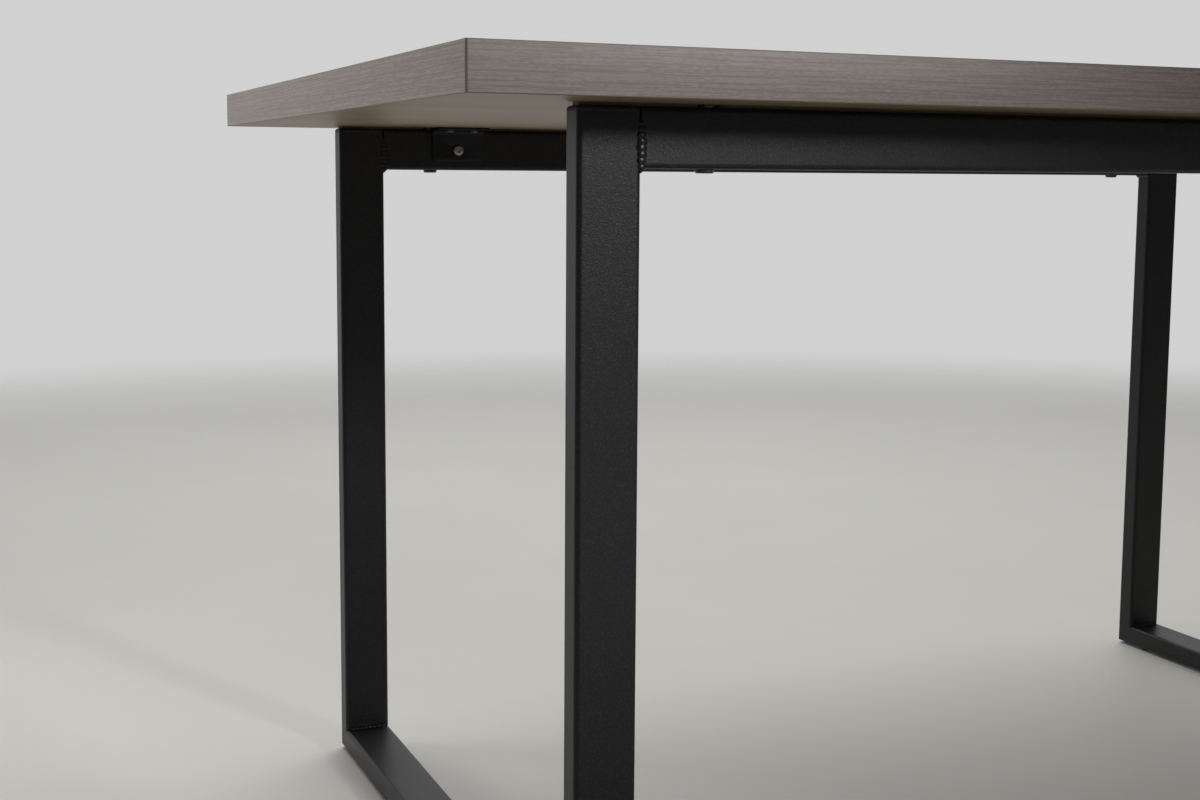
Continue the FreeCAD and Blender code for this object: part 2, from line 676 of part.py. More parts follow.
tabletop()
back_band = edge_band("band_long", "table_length", "x")
two_sides(back_band, ACROSS_Y, "edge_band_back", "edge_band_front")
right_band = edge_band("band_short", CORE_WIDTH, "y")
two_sides(right_band, ACROSS_X, "edge_band_right", "edge_band_left")

four_corners(post(), "post")
two_sides(floor_bar(), ACROSS_X, "floor_bar_right", "floor_bar_left")
two_sides(rail(), ACROSS_Y, "rail_back", "rail_front")
four_corners(post_cap(), "post_cap")
four_corners(rail_weld(), "rail_weld")
four_corners(foot_weld(), "foot_weld")

keep(in_four("bolts", [top_bolt()]), "top_bolts")
washer = ring("spacer_washer", "spacer_diameter", "(bolt_diameter + 2 * bolt_hole_gap)", "rail_gap")
keep(in_four("washers", [place(washer, BOLT_X, POST_Y, RAIL_TOP)]), "spacer_washers")
insert = ring("threaded_insert", "insert_diameter", "(bolt_diameter + 2 * thread_gap)", "insert_length")
keep(in_four("inserts", [place(insert, BOLT_X, POST_Y, UNDERSIDE)]), "threaded_inserts")

four_corners(bracket(), "bracket")
keep(in_four("screws", [bracket_screw()]), "bracket_screws")
rail_nut = nut("rail_nut", "rail_nut_width", "(screw_diameter + 2 * thread_gap)", "rail_nut_height", "XZ_Plane")
keep(in_four("rail_nut_group", [place(rail_nut, BRACKET_X, f"{INNER_FACE} + tube_wall", RAIL_MIDDLE)]), "rail_nuts")
keep(in_four("wood_screw_group", [wood_screw(side, x) for side, x in enumerate(SCREW_PLACES)]), "wood_screws")

foot_nut = nut("foot_nut", "foot_nut_width", "(foot_stud + 2 * running_fit)", "foot_nut_height", "XY_Plane")
keep(in_four("foot_nut_group", [place(foot_nut, POST_X, FOOT_Y, "foot_thickness + tube_wall")]), "floor_bar_nuts")
four_corners(levelling_pad(), "levelling_pad")
four_corners(levelling_stud(), "levelling_stud")

doc.recompute()

for item in doc.Objects:
    if {"Invalid", "Error"} & set(item.State):
        raise RuntimeError(f"{item.Label} failed: {item.State}")
for item in nodes:
    if item.Shape.isNull() or not item.Shape.isValid():
        raise RuntimeError(f"{item.Label} has no valid shape")

os.makedirs("parts", exist_ok=True)
for item in nodes:
    item.Shape.exportStep(f"parts/{item.Label}.step")
print(len(nodes), "sub-parts,", sum(len(item.Shape.Solids) for item in nodes), "solids")
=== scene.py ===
# %% [markdown]
# # A dining table on a black steel frame
# The table is a laminated board that rests on two welded end frames and two long rails. The packed
# file already holds every solid at its true place and size. This lesson adds what a solid lacks:
# the finishes, and hand-modelled stand-ins for the small pieces whose shape makes them look real.

# %% Load the solids
import math

import bmesh
import bpy
from mathutils import Matrix, Vector


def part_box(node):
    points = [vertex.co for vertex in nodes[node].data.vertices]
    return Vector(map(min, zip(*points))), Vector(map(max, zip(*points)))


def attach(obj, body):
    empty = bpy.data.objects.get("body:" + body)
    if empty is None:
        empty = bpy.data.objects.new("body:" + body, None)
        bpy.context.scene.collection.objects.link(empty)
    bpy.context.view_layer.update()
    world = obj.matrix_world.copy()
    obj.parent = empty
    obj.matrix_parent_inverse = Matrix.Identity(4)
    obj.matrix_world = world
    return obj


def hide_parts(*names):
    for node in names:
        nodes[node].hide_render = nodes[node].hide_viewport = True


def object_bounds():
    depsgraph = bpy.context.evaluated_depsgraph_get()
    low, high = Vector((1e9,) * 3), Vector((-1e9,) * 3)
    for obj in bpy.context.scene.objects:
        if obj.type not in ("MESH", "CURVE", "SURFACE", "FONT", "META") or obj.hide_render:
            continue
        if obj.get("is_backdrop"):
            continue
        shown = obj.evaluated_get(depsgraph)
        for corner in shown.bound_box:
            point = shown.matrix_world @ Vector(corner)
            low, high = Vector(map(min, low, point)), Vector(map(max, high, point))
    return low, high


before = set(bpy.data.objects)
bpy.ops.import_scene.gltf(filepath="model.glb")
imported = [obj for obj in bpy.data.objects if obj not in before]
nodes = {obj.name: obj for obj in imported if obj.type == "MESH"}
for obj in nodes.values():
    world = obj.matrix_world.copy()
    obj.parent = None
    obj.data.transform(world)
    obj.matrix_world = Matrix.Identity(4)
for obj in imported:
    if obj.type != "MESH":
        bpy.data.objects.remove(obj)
cad_low, cad_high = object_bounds()
print("solids:", len(nodes), "box in metres:", [round(side, 4) for side in cad_high - cad_low])

# %% [markdown]
# ## The camera
# The camera stands low at the table's near left corner and looks slightly down. Its place and turn
# were worked out from the table's straight edges, so they are numbers here and not a guess by eye.
# The lens axis is a little above the picture's middle, and the camera's shift gives that without
# tilting the uprights.

# %% Camera
PICTURE_WIDTH = 1200
FOCAL_PIXELS = 1605.4
AXIS_RISE_PIXELS = 47.34
YAW, PITCH, ROLL = 0.4044, -0.1098, 0.0065
CAMERA_PLACE = (-1.0309, -1.4206, 0.6624)
SENSOR_WIDTH = 36

forward = Vector((math.cos(PITCH) * math.sin(YAW), math.cos(PITCH) * math.cos(YAW), math.sin(PITCH)))
level_right = Vector((math.cos(YAW), -math.sin(YAW), 0))
level_up = level_right.cross(forward)
right = math.cos(ROLL) * level_right + math.sin(ROLL) * level_up
up = math.cos(ROLL) * level_up - math.sin(ROLL) * level_right
turn = Matrix((right, up, -forward)).transposed()

bpy.ops.object.select_all(action="DESELECT")
bpy.ops.object.camera_add(location=CAMERA_PLACE, rotation=turn.to_euler())
camera = bpy.context.object
camera.name = "camera"
camera.data.sensor_width = SENSOR_WIDTH
camera.data.lens = SENSOR_WIDTH * FOCAL_PIXELS / PICTURE_WIDTH
camera.data.shift_y = -AXIS_RISE_PIXELS / PICTURE_WIDTH
camera.data.clip_end = 100
bpy.context.scene.camera = camera
bpy.context.scene.view_settings.view_transform = "Standard"
print("lens in mm:", round(camera.data.lens, 2))

# %% [markdown]
# ## Writing finishes as sums
# A finish is a web of shader nodes. Wiring each node by hand hides the idea, so a small class wraps
# a node's output and lets Python's own signs add the Math nodes: `1 - mask` then reads as it should.
# Every other node comes from one method, which takes the node's type, its settings, and the values
# or links of its sockets.

# %% Shader helpers
class Signal:
    """A node's output that can stand in a sum."""

    def __init__(self, recipe, socket):
        self.recipe = recipe
        self.socket = socket

    def worked(self, operation, first, second):
        return self.recipe.node("ShaderNodeMath", {"operation": operation}, {0: first, 1: second})

    def __add__(self, other):
        return self.worked("ADD", self, other)

    def __radd__(self, other):
        return self.worked("ADD", other, self)

    def __sub__(self, other):
        return self.worked("SUBTRACT", self, other)

    def __rsub__(self, other):
        return self.worked("SUBTRACT", other, self)

    def __mul__(self, other):
        return self.worked("MULTIPLY", self, other)

    def __rmul__(self, other):
        return self.worked("MULTIPLY", other, self)


class Recipe:
    """The nodes of one finish, or of the room's light."""

    def __init__(self, tree):
        self.tree = tree
        tree.nodes.clear()

    def node(self, kind, settings=None, sockets=None, output=0):
        made = self.tree.nodes.new(kind)
        for name, value in (settings or {}).items():
            if name == "stops":
                points = made.color_ramp.elements
                while len(points) < len(value):
                    points.new(0.5)
                for point, (position, colour) in zip(points, value):
                    point.position = position
                    point.color = colour
            else:
                setattr(made, name, value)
        for name, value in (sockets or {}).items():
            if isinstance(value, Signal):
                self.tree.links.new(value.socket, made.inputs[name])
            else:
                made.inputs[name].default_value = value
        return Signal(self, made.outputs[output] if made.outputs else None)


def painted(red, green, blue):
    """A colour as a paint chart gives it, 0 to 255, for a shader."""
    shares = [channel / 255 for channel in (red, green, blue)]
    linear = [share / 12.92 if share <= 0.04045 else ((share + 0.055) / 1.055) ** 2.4 for share in shares]
    return (*linear, 1)


def grey(level):
    return (level, level, level, 1)


print("a mid grey of 128 is", round(painted(128, 128, 128)[0], 3), "in a shader")

# %% [markdown]
# ## Patterns that the finishes share
# All patterns read Object coordinates. Every piece sits at the origin with its place in its mesh, so
# these are simply metres on the table, and a pattern runs on from one piece to the next. Noise is
# stretched by a Mapping node: one metre divided by the size of the mark in each direction.

# %% Pattern helpers
def place_on_table(recipe):
    return recipe.node("ShaderNodeTexCoord", output="Object")


def marks(recipe, place, size, detail=2, roughness=0.5):
    """Soft noise whose marks have the given size along X, Y and Z, in metres."""
    scale = [1 / length for length in size]
    spot = recipe.node("ShaderNodeMapping", sockets={"Vector": place, "Scale": scale})
    return recipe.node("ShaderNodeTexNoise",
                       sockets={"Vector": spot, "Scale": 1, "Detail": detail, "Roughness": roughness})


def eased(recipe, value, low, high):
    """0 below low, 1 above high, and a soft step between."""
    return recipe.node("ShaderNodeMapRange", {"interpolation_type": "SMOOTHSTEP"},
                       {"Value": value, "From Min": low, "From Max": high})


def blended(recipe, share, first, second):
    """Two colours mixed by a share."""
    return recipe.node("ShaderNodeMix", {"data_type": "RGBA"}, {0: share, 6: first, 7: second}, output=2)


def raised(recipe, height, depth):
    """A surface normal for a height of 0 to 1 that is really depth metres."""
    return recipe.node("ShaderNodeBump", sockets={"Strength": 1, "Distance": depth, "Height": height})


def new_finish(name):
    material = bpy.data.materials.new(name)
    material.use_nodes = True
    return material, Recipe(material.node_tree)


def surfaced(recipe, **sockets):
    """Ends a finish in the one shader that all of them use."""
    names = {name.replace("_", " ").title().replace("Ior", "IOR"): value for name, value in sockets.items()}
    shader = recipe.node("ShaderNodeBsdfPrincipled", sockets=names)
    recipe.node("ShaderNodeOutputMaterial", sockets={"Surface": shader})


print("marks of 2 mm repeat", round(1 / 0.002), "times in a metre")

# %% [markdown]
# ## Wood-grain laminate
# The top and the edge bands carry a printed wood grain in grey brown, under a satin melamine skin. It is
# a print, so the grain is fine and even: straight lines a few millimetres apart, broken into dashes. Plain
# noise is too cloudy for that. Here each line pattern is one noise less the same noise a line's width
# aside: broad clouds are alike in both and cancel, and the lines stay. Another noise breaks them, and long
# faint streaks give the wide top its run of the wood. The sheet and the long bands have the grain along X,
# the short bands along Y and a little more drawn out, so one function makes both.

# %% Laminate
SLICE = 0.37


def laminate(name, along, drawn_out):
    material, recipe = new_finish(name)
    place = place_on_table(recipe)
    x, y, z = (recipe.node("ShaderNodeSeparateXYZ", sockets={0: place}, output=axis) for axis in "XYZ")
    lengthways, across = (x, y + z) if along == "x" else (y, x + z)

    def grain(length, width, aside=0):
        spot = recipe.node("ShaderNodeCombineXYZ", sockets={"X": lengthways, "Y": across + aside, "Z": SLICE})
        return marks(recipe, spot, (length * drawn_out, width, 1))

    def lines(length, width, gap):
        return grain(length, width) - grain(length, width, gap)

    broad = lines(0.09, 0.00125, 0.0023)
    fine = lines(0.05, 0.0008, 0.0014)
    breaks = eased(recipe, grain(0.0045, 0.0013), 0.36, 0.64)
    streaks = grain(0.55, 0.011)
    clouds = grain(0.9, 0.16)
    pores = eased(recipe, fine, 0.08, 0.3)
    drawn = (broad + 1.6 * fine) * (0.5 + breaks) + 0.34 * (breaks - 0.5)
    tone = eased(recipe, 0.5 + drawn + 0.75 * (streaks - 0.5) + 0.3 * (clouds - 0.5), 0.1, 0.9)
    body = blended(recipe, tone, painted(122, 112, 107), painted(147, 137, 132))
    tinted = blended(recipe, eased(recipe, clouds, 0.35, 0.7) * 0.35, body, painted(136, 128, 124))
    colour = blended(recipe, pores * 0.36, tinted, painted(104, 93, 88))
    roughness = 0.47 + 0.1 * pores - 0.06 * fine
    normal = raised(recipe, 0.6 * fine - 0.6 * pores, 0.00006)
    surfaced(recipe, base_color=colour, roughness=roughness, normal=normal, specular_ior_level=0.45)
    return material


GRAIN_LONG = laminate("laminate_long_grain", "x", 1.0)
GRAIN_SHORT = laminate("laminate_short_grain", "y", 2.4)
print("laminate nodes:", len(GRAIN_LONG.node_tree.nodes))

# %% [markdown]
# ## Backing sheet
# The underside carries a cheaper sheet that only keeps the board flat. Its print is plainer and yellower,
# and its skin has a satin gloss. Seen from low down, a satin sheet mirrors what stands under it, long and
# blurred: the pale room makes it light, and each black post draws a soft dark streak on it. So the sheet
# itself is a mid brown, and the shader's gloss does the rest.

# %% Backing sheet
def backing(name):
    material, recipe = new_finish(name)
    place = place_on_table(recipe)
    fine = marks(recipe, place, (0.05, 0.0026, 0.0026), 2)
    clouds = marks(recipe, place, (0.7, 0.14, 0.14))
    colour = blended(recipe, eased(recipe, 0.6 * fine + 0.4 * clouds, 0.3, 0.7),
                     painted(121, 101, 75), painted(151, 131, 105))
    surfaced(recipe, base_color=colour, roughness=0.44 + 0.1 * (fine - 0.5),
             normal=raised(recipe, fine, 0.00004), specular_ior_level=0.35)
    return material


BACKING = backing("backing_sheet")
print("backing nodes:", len(BACKING.node_tree.nodes))

# %% [markdown]
# ## The cut edge of the bands
# An edge band is plastic, dyed right through and printed only on its face. Where the router rounds
# its edges, the print is cut away and the plain olive brown shows as a thin darker line.

# %% Cut edge
def band_edge(name):
    material, recipe = new_finish(name)
    place = place_on_table(recipe)
    chatter = marks(recipe, place, (0.0015, 0.0015, 0.0015), 3)
    drift = marks(recipe, place, (0.08, 0.08, 0.01))
    colour = blended(recipe, 0.6 * chatter + 0.4 * drift, painted(98, 88, 76), painted(128, 117, 102))
    surfaced(recipe, base_color=colour, roughness=0.42 + 0.15 * chatter,
             normal=raised(recipe, chatter, 0.00003))
    return material


CUT_EDGE = band_edge("band_cut_edge")
print("cut edge nodes:", len(CUT_EDGE.node_tree.nodes))

# %% [markdown]
# ## Core board
# The core is pressed from wood chips. It only shows inside a screw hole, but a hole that shows plain
# colour looks wrong, so it gets chips: cells of differing tone, with dark gaps between them.

# %% Core board
CHIPS_PER_METRE = 420


def chipboard(name):
    material, recipe = new_finish(name)
    place = place_on_table(recipe)
    cells = {"Vector": place, "Scale": CHIPS_PER_METRE}
    chips = recipe.node("ShaderNodeTexVoronoi", sockets=cells, output="Color")
    tone = recipe.node("ShaderNodeSeparateColor", sockets={0: chips})
    gaps = recipe.node("ShaderNodeTexVoronoi", {"feature": "DISTANCE_TO_EDGE"}, cells)
    solid = eased(recipe, gaps, 0.0, 0.12)
    body = blended(recipe, tone, painted(164, 128, 88), painted(204, 172, 128))
    colour = blended(recipe, solid, painted(104, 78, 52), body)
    surfaced(recipe, base_color=colour, roughness=0.85, normal=raised(recipe, solid, 0.0003))
    return material


CHIPBOARD = chipboard("chipboard")
print("core nodes:", len(CHIPBOARD.node_tree.nodes))

# %% [markdown]
# ## Black powder coat
# The welded frame is blasted and coated with a fine-textured black powder. The texture is a sand of
# rounded grains under a millimetre wide, over a slower orange peel from the melted powder. The black
# itself is nearly even, so most of what the eye sees is the satin reflection that the sand breaks up.
# Near the floor, shoes leave pale rubbed streaks along the bars.

# %% Powder coat
def powder_coat(name, sand_depth):
    material, recipe = new_finish(name)
    place = place_on_table(recipe)
    sand = marks(recipe, place, (0.0014, 0.0014, 0.0014), 2, 0.55)
    peel = marks(recipe, place, (0.005, 0.005, 0.005), 1)
    clouds = marks(recipe, place, (0.12, 0.12, 0.2), 3)
    height = recipe.node("ShaderNodeSeparateXYZ", sockets={0: place}, output="Z")
    rubbed = marks(recipe, place, (0.004, 0.09, 0.0025), 3, 0.6)
    scuffs = eased(recipe, rubbed, 0.6, 0.74) * (1 - eased(recipe, height, 0.02, 0.07))
    body = blended(recipe, clouds, painted(17, 17, 18), painted(23, 23, 25))
    speckled = blended(recipe, eased(recipe, sand, 0.5, 0.72) * 0.5, body, painted(50, 50, 53))
    colour = blended(recipe, scuffs * 0.3, speckled, painted(96, 95, 92))
    roughness = 0.4 + 0.08 * (clouds - 0.5) + 0.1 * (sand - 0.5) + 0.12 * scuffs
    normal = raised(recipe, 0.7 * sand + 0.3 * peel, sand_depth)
    surfaced(recipe, base_color=colour, roughness=roughness, normal=normal, specular_ior_level=0.35)
    return material


POWDER_COAT = powder_coat("powder_coat_black", 0.0002)
print("powder coat nodes:", len(POWDER_COAT.node_tree.nodes))

# %% [markdown]
# ## Powder on the welds
# On a bead the powder has less sand in it and melts flatter, so it is glossier than on the tubes. Its
# black is also made darker than on the tubes, which is painted shade for the recessed groove the bead
# lies in. Together these give a dark seam with one small bright dot on each ripple.

# %% Weld coat
def weld_coat_and_shade(name):
    material, recipe = new_finish(name)
    place = place_on_table(recipe)
    peel = marks(recipe, place, (0.0016, 0.0016, 0.0016), 2)
    film = marks(recipe, place, (0.006, 0.006, 0.006), 3)
    # Painted shade: these blacks are darker than the tube coat's, standing for the shade in the weld groove.
    colour = blended(recipe, film, painted(11, 11, 12), painted(19, 19, 20))
    surfaced(recipe, base_color=colour, roughness=0.28 + 0.14 * film, normal=raised(recipe, peel, 0.00012),
             specular_ior_level=0.35)
    return material


WELD_COAT_AND_SHADE = weld_coat_and_shade("weld_coat_black_and_shade")
print("weld coat nodes:", len(WELD_COAT_AND_SHADE.node_tree.nodes))

# %% [markdown]
# ## Brackets, caps, pads and the shade strip
# The brackets are dipped, not powdered, so their black is thinner and glossier. The caps and pads are
# moulded plastic with a fine spark-eroded grain. The strip on the rails is painted shade with the look of
# pressed felt, a mat of short fibres.

# %% Dipped steel, plastic and shade felt
def dipped_black(name):
    material, recipe = new_finish(name)
    place = place_on_table(recipe)
    peel = marks(recipe, place, (0.003, 0.003, 0.003), 2)
    film = marks(recipe, place, (0.02, 0.02, 0.008), 3)
    colour = blended(recipe, film, painted(16, 16, 17), painted(25, 25, 27))
    surfaced(recipe, base_color=colour, roughness=0.36 + 0.16 * film, normal=raised(recipe, peel, 0.00006),
             specular_ior_level=0.3)
    return material


def moulded_plastic(name):
    material, recipe = new_finish(name)
    place = place_on_table(recipe)
    spark = marks(recipe, place, (0.0004, 0.0004, 0.0004), 1)
    wear = marks(recipe, place, (0.012, 0.012, 0.012), 4, 0.6)
    colour = blended(recipe, wear, painted(23, 23, 24), painted(36, 36, 36))
    surfaced(recipe, base_color=colour, roughness=0.5 + 0.14 * wear, normal=raised(recipe, spark, 0.00004))
    return material


# Painted shade: a felt-textured grey brown for the strips that stand in for the shaded gap under the top.
def felt(name):
    material, recipe = new_finish(name)
    place = place_on_table(recipe)
    fibres = marks(recipe, place, (0.0025, 0.0006, 0.0006), 3, 0.6)
    dust = marks(recipe, place, (0.02, 0.006, 0.006), 3)
    colour = blended(recipe, 0.6 * fibres + 0.4 * dust, painted(98, 89, 76), painted(138, 127, 110))
    surfaced(recipe, base_color=colour, roughness=0.95, normal=raised(recipe, fibres, 0.0003),
             specular_ior_level=0.05)
    return material


DIPPED_BLACK = dipped_black("dipped_black")
MOULDED_PLASTIC = moulded_plastic("moulded_plastic_black")
SHADE_FELT = felt("shade_felt_grey_brown")
print("felt nodes:", len(SHADE_FELT.node_tree.nodes))

# %% [markdown]
# ## Plated hardware
# The bolts under the rails are black zinc. The nuts, studs and pan screws are bright zinc, slightly
# warm, with a faint crystal cloudiness. The spacers and the screws into the board get a darker, rougher
# copy of the zinc, which is painted shade for their place in the shade under the top.

# %% Plated finishes
def plated(name, dark, light, smooth, metal):
    material, recipe = new_finish(name)
    place = place_on_table(recipe)
    crystals = marks(recipe, place, (0.0016, 0.0016, 0.0016), 3, 0.6)
    film = marks(recipe, place, (0.006, 0.006, 0.006), 3)
    colour = blended(recipe, eased(recipe, 0.5 * crystals + 0.5 * film, 0.3, 0.7), dark, light)
    roughness = smooth + 0.2 * (crystals - 0.4) + 0.1 * (film - 0.5)
    normal = raised(recipe, crystals, 0.00003)
    surfaced(recipe, base_color=colour, roughness=roughness, metallic=metal, normal=normal)
    return material


BLACK_ZINC = plated("black_zinc", painted(52, 51, 46), painted(92, 90, 82), 0.36, 0.85)
BRIGHT_ZINC = plated("bright_zinc", painted(146, 145, 137), painted(190, 188, 178), 0.3, 1.0)
# Painted shade: a darker copy of the zinc for the spacers and flange screws, which sit in shade.
SHADED_ZINC = plated("shaded_zinc", painted(84, 82, 74), painted(128, 125, 114), 0.42, 1.0)
print("plated nodes:", len(BRIGHT_ZINC.node_tree.nodes))

# %% [markdown]
# ## Finishes on the solids that stay
# A solid whose shape is right keeps its place and only gets its finish. Each one came with a slot
# name, so the slot picks the finish. The short bands and the underside are the exceptions: they share
# a slot with the top, but not its print.

# %% Dress the solids
FINISHES = {
    "laminate": GRAIN_LONG,
    "core_board": CHIPBOARD,
    "powder_coat": POWDER_COAT,
    "bracket_steel": DIPPED_BLACK,
    "black_plastic": MOULDED_PLASTIC,
    "black_bolt": BLACK_ZINC,
    "zinc": BRIGHT_ZINC,
}
SPECIAL = {"edge_band_left": GRAIN_SHORT, "edge_band_right": GRAIN_SHORT, "underside_laminate": BACKING}
for name, node in nodes.items():
    slot = node.material_slots[0]
    slot.material = SPECIAL.get(name) or FINISHES[slot.material.name]
print("dressed:", len(nodes), "solids")

# %% [markdown]
# ## Modelling as by hand, in code
# In Blender's window a piece starts as a primitive, is shaped in edit mode, and is finished with
# modifiers. The same operators work from a script. Each acts on whatever is selected, so the helpers
# below first clear the selection. A finished piece keeps its origin at the table's origin, with its
# place in its mesh, just as the solids do.

# %% Starting a piece
def clear_selection():
    if bpy.context.mode != "OBJECT":
        bpy.ops.object.mode_set(mode="OBJECT")
    bpy.ops.object.select_all(action="DESELECT")


def activate(piece):
    clear_selection()
    piece.select_set(True)
    bpy.context.view_layer.objects.active = piece


def settled(name):
    """Names the newest primitive and moves its place into its mesh."""
    piece = bpy.context.object
    piece.name = piece.data.name = name
    bpy.ops.object.transform_apply(location=True, rotation=True, scale=True)
    return piece


def block(name, low, high):
    """A box between two corners."""
    clear_selection()
    low, high = Vector(low), Vector(high)
    bpy.ops.mesh.primitive_cube_add(size=1, location=(low + high) / 2, scale=high - low)
    return settled(name)


def rod(name, place, radius, height, sides=32, along="z"):
    """A cylinder that starts at a place and runs along Y or Z."""
    clear_selection()
    axis = Vector((0, 0, 1)) if along == "z" else Vector((0, 1, 0))
    tilt = (0, 0, 0) if along == "z" else (math.pi / 2, 0, 0)
    bpy.ops.mesh.primitive_cylinder_add(vertices=sides, radius=radius, depth=height,
                                        location=Vector(place) + axis * height / 2, rotation=tilt)
    return settled(name)


# %% [markdown]
# ## Picking and pulling
# In edit mode a test picks vertices, edges or faces by their place, and the next operator acts on them.
# Two tests come up again and again: edges that lie at one height, and edges that stand upright.

# %% Working in edit mode
NEAR = 1e-5
UPRIGHT_RISE = 0.001


def edit(piece):
    activate(piece)
    bpy.ops.object.mode_set(mode="EDIT")
    bpy.ops.mesh.select_mode(type="VERT")
    bpy.ops.mesh.select_all(action="SELECT")


def pick(kind, test):
    """In edit mode, selects the vertices, edges or faces that pass a test."""
    bpy.ops.mesh.select_mode(type=kind)
    bpy.ops.mesh.select_all(action="DESELECT")
    mesh = bmesh.from_edit_mesh(bpy.context.object.data)
    items = {"VERT": mesh.verts, "EDGE": mesh.edges, "FACE": mesh.faces}[kind]
    for item in items:
        if test(item):
            item.select_set(True)
    mesh.select_flush_mode()
    bmesh.update_edit_mesh(bpy.context.object.data)


def at_height(level):
    """A test for edges that lie at one height."""
    return lambda edge: all(abs(corner.co.z - level) < NEAR for corner in edge.verts)


def upright(edge):
    return abs(edge.verts[0].co.z - edge.verts[1].co.z) > UPRIGHT_RISE


def done():
    bpy.ops.object.mode_set(mode="OBJECT")


def middle_of(item):
    """The middle of an edge or a face."""
    return sum((corner.co for corner in item.verts), Vector()) / len(item.verts)


def pull(shift):
    """Extrudes what is selected by a shift."""
    bpy.ops.mesh.extrude_region_move(TRANSFORM_OT_translate={"value": shift})


print("places are compared to", NEAR * 1000, "mm")

# %% [markdown]
# ## Modifiers and copies
# Each modifier is applied at once, so the next step works on plain faces. A copy always gets its own
# mesh, and it is turned, moved or mirrored there.

# %% Modifiers and copies
def shape_with(piece, kind, **settings):
    """Adds a modifier and applies it."""
    activate(piece)
    modifier = piece.modifiers.new(kind.title(), kind)
    for name, value in settings.items():
        setattr(modifier, name, value)
    bpy.ops.object.modifier_apply(modifier=modifier.name)


def carve(piece, cutter):
    """Cuts one piece out of another and throws the cutter away."""
    shape_with(piece, "BOOLEAN", operation="DIFFERENCE", object=cutter, solver="EXACT")
    bpy.data.objects.remove(cutter)


def copied(piece, name, shift=(0, 0, 0)):
    """A copy with its own mesh."""
    activate(piece)
    bpy.ops.object.duplicate(linked=False)
    bpy.ops.transform.translate(value=shift)
    return settled(name)


def placed(piece, name, place, turn):
    """A copy of a piece made at the origin, turned and set in place."""
    twin = copied(piece, name)
    twin.matrix_world = Matrix.Translation(place) @ turn
    activate(twin)
    bpy.ops.object.transform_apply(location=True, rotation=True, scale=True)
    return twin


def mirrored(piece, name, side_x, side_y):
    """A mirror image across the table's middle, for each side that is -1."""
    twin = copied(piece, name)
    edit(twin)
    bpy.ops.transform.resize(value=(side_x, side_y, 1), center_override=(0, 0, 0))
    bpy.ops.mesh.normals_make_consistent(inside=False)
    done()
    return twin


def joined(pieces, name):
    clear_selection()
    for piece in pieces:
        piece.select_set(True)
    bpy.context.view_layer.objects.active = pieces[0]
    bpy.ops.object.join()
    pieces[0].name = pieces[0].data.name = name
    return pieces[0]


print("modifiers on the solids:", sum(len(node.modifiers) for node in nodes.values()))

# %% [markdown]
# ## Four corners, and standing in for a solid
# Nearly every small piece sits in all four corners of the table. It is modelled once at the back right.
# A finished piece then takes a solid's place: it rides on the same body and hides that solid.

# %% Four corners
CORNERS = {"back_right": (1, 1), "back_left": (-1, 1), "front_right": (1, -1), "front_left": (-1, -1)}


def in_corners(piece, stem):
    """The piece at the back right, and its mirror images in the other three corners."""
    images = {corner: mirrored(piece, f"{stem}_{corner}", *sides) for corner, sides in CORNERS.items()}
    bpy.data.objects.remove(piece)
    return images


def four_of(piece, stem, place):
    """The piece at the back right, and unmirrored copies in the other three corners."""
    copies = {}
    for corner, (side_x, side_y) in CORNERS.items():
        shift = ((side_x - 1) * place[0], (side_y - 1) * place[1], 0)
        copies[corner] = copied(piece, f"{stem}_{corner}", shift)
    bpy.data.objects.remove(piece)
    return copies


def stand_in(piece, finish, node, body="table", angle=40):
    """Smooths a piece, gives it its finish, and lets it stand for a solid."""
    activate(piece)
    bpy.ops.object.shade_smooth_by_angle(angle=math.radians(angle))
    if finish:
        piece.data.materials.clear()
        piece.data.materials.append(finish)
    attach(piece, body)
    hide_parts(node)
    piece.data.calc_loop_triangles()
    return len(piece.data.loop_triangles)


print("corners:", ", ".join(CORNERS))

# %% [markdown]
# ## Edge bands
# Each band is a 2 mm plastic strip, glued on and then routed to a round edge. A box with its outer
# edges bevelled gives that round. The printed face and the cut edge are different surfaces, so every
# face that doesn't look straight out gets the second finish, and the thin dark line at the corner
# and along the lower edge comes by itself.

# %% Edge bands
EDGE_ROUND, END_ROUND = 0.0008, 0.0016


def edge_band(name, node, out, print_finish):
    low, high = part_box(node)
    band = block(name, low, high)
    band.data.materials.append(print_finish)
    band.data.materials.append(CUT_EDGE)
    face_level = max(corner.dot(out) for corner in (low, high))
    long_band = abs(out.y) > 0.5

    def on_face(edge):
        return all(abs(corner.co.dot(out) - face_level) < NEAR for corner in edge.verts)

    edit(band)
    if long_band:
        pick("EDGE", lambda edge: on_face(edge) and upright(edge))
        bpy.ops.mesh.bevel(offset=END_ROUND, segments=6, affect="EDGES")
    pick("FACE", lambda face: face.normal.dot(out) > 0.1 and abs(face.normal.z) < 0.1)
    bpy.ops.mesh.region_to_loop()
    mesh = bmesh.from_edit_mesh(band.data)
    level = {edge.index for edge in mesh.edges if edge.select and not upright(edge)}
    pick("EDGE", lambda edge: edge.index in level)
    bpy.ops.mesh.bevel(offset=EDGE_ROUND, segments=4, affect="EDGES")
    pick("FACE", lambda face: face.normal.dot(out) < 0.999)
    band.active_material_index = 1
    bpy.ops.object.material_slot_assign()
    done()
    return stand_in(band, None, node)


for side, out, print_finish in (("front", (0, -1, 0), GRAIN_LONG), ("back", (0, 1, 0), GRAIN_LONG),
                                ("left", (-1, 0, 0), GRAIN_SHORT), ("right", (1, 0, 0), GRAIN_SHORT)):
    count = edge_band(f"band_{side}", f"edge_band_{side}", Vector(out), print_finish)
    print("band", side, "has", count, "triangles")

# %% [markdown]
# ## Weld beads
# A weld is laid as a row of puddles that freeze one over the other, which leaves the ripples. Sweeping
# a profile would give a neat tube without them. Here one puddle is a flattened ball, leaned over as
# the torch leans, and copies of it are set along the seam. A voxel remesh then melts the balls into
# one skin, and a little smoothing takes the grid out of it.

# %% Puddles
PUDDLE_LEAN = 0.35
VOXEL = 0.0004


